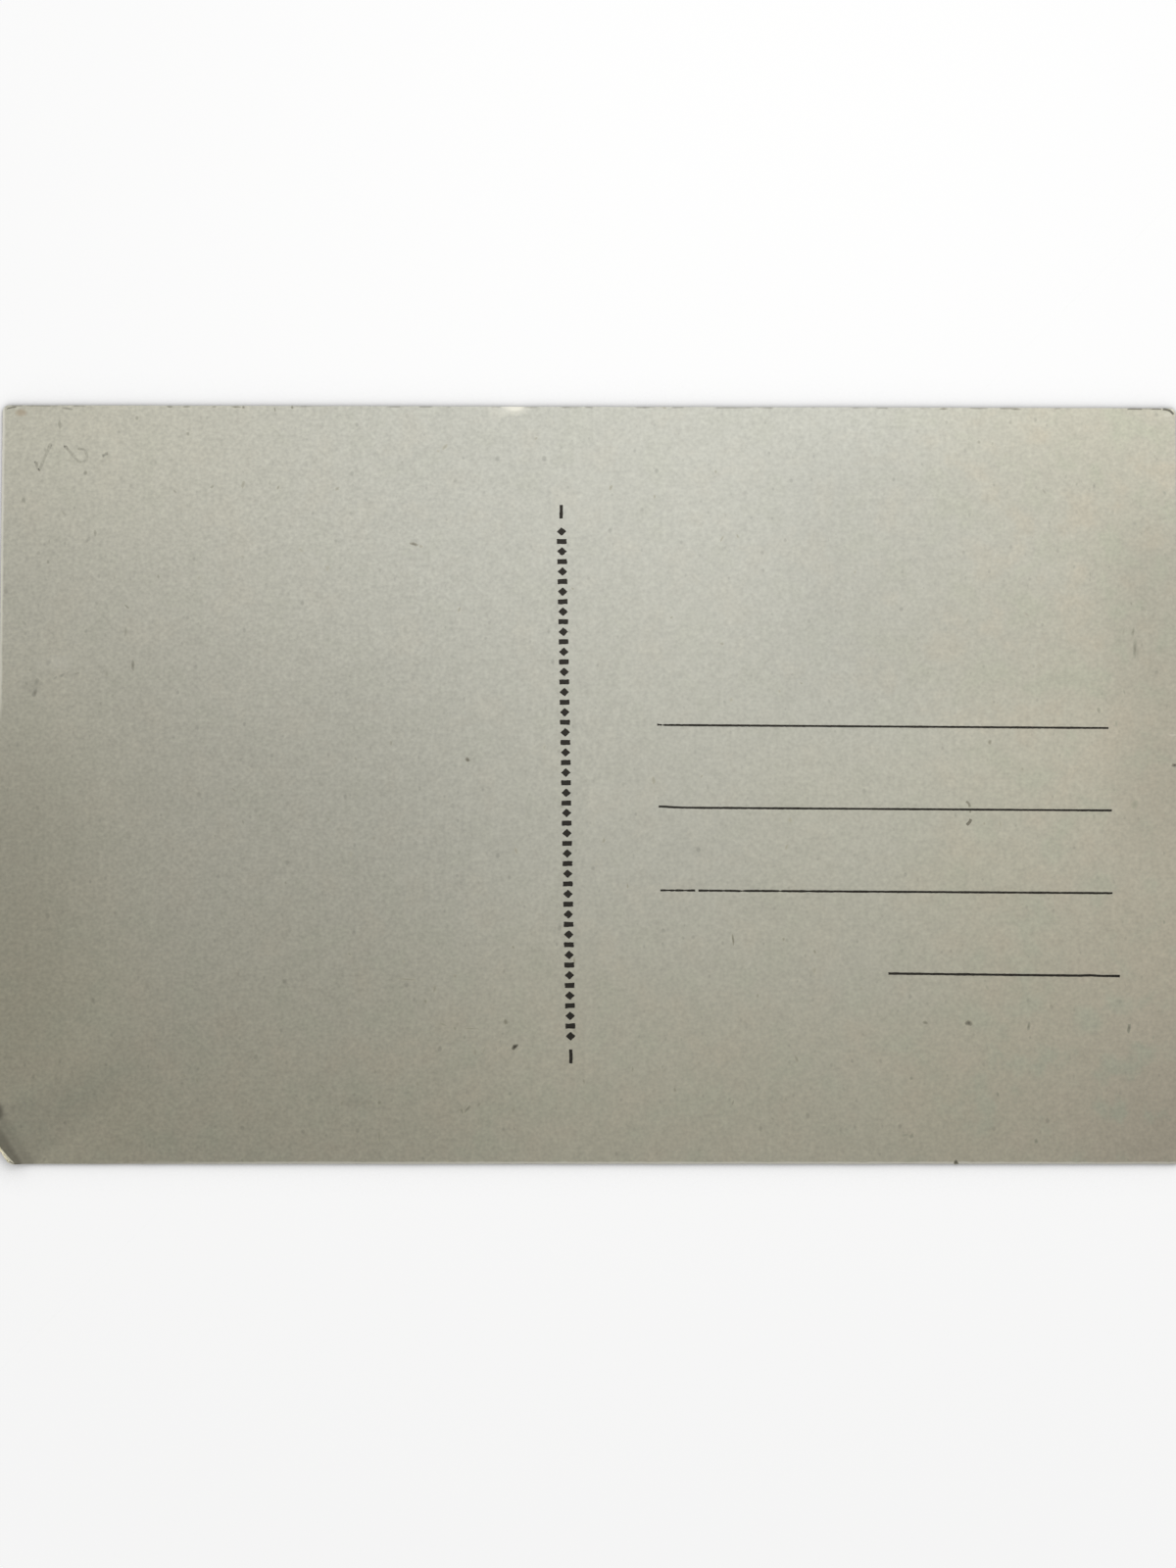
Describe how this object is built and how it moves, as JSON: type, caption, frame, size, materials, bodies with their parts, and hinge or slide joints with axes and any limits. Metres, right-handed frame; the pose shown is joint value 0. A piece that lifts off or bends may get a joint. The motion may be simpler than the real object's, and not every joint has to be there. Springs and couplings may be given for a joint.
{
  "type": "postcard",
  "caption": "Old picture postcard of pasted plies: blank message half, dividing ornament and ruled address half on one side, bordered picture on the other, a corner turned up.",
  "frame": {"origin": "on the picture side, under the middle of the card, so the card lies picture side down on Z = 0", "axes": "+X along the long edges towards the ruled address half, +Y towards the top edge as the address side is read, +Z out of the address side"},
  "size_m": [0.14, 0.09, 0.0015],
  "materials": {
    "face_paper": "matte",
    "core_board": "matte",
    "dry_paste": "matte",
    "black_ink": "matte",
    "picture_ink": "satin"
  },
  "bodies": {
    "root": {"address_face_ply": "face_paper", "address_paste_film": "dry_paste", "core_ply": "core_board", "picture_paste_film": "dry_paste", "picture_face_ply": "face_paper", "picture_print": "picture_ink", "address_rule_1": "black_ink", "address_rule_2": "black_ink", "address_rule_3": "black_ink", "address_rule_4": "black_ink", "divider_lozenges": "black_ink", "divider_bars": "black_ink", "divider_dashes": "black_ink"}
  },
  "joints": []
}
